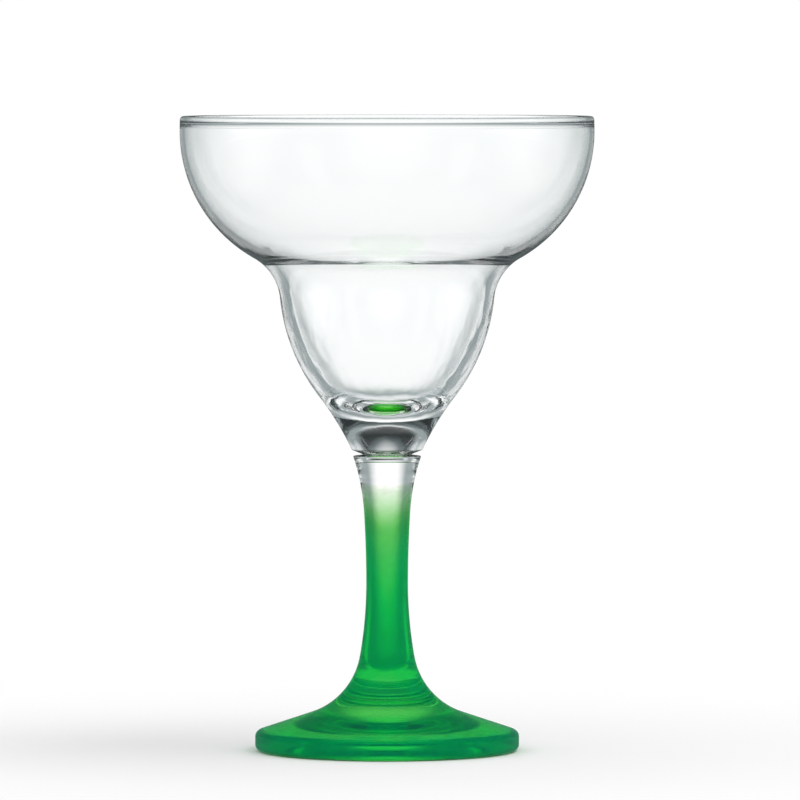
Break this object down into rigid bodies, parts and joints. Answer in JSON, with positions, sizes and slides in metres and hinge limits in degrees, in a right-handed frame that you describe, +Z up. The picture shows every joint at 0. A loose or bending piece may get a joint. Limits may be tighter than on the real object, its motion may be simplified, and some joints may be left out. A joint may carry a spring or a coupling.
{
  "type": "margarita glass",
  "caption": "Stemmed cocktail glass with a wide clear coupe stepping in to a narrower cup, on a solid stem and round foot under a green lacquer film that fades out up the stem.",
  "frame": {"origin": "centre of the foot on the surface the glass stands on", "axes": "+Z up along the axis of stem and bowl; the glass is round, so +X and +Y are any two level directions at right angles"},
  "size_m": [0.1124, 0.1124, 0.1723],
  "materials": {
    "clear_glass": "fire-polished clear soda-lime glass",
    "green_lacquer": "glossy translucent sprayed lacquer"
  },
  "bodies": {
    "root": {"bowl": "clear_glass", "stem": "clear_glass", "foot": "clear_glass", "green_lacquer": "green_lacquer"}
  },
  "joints": []
}
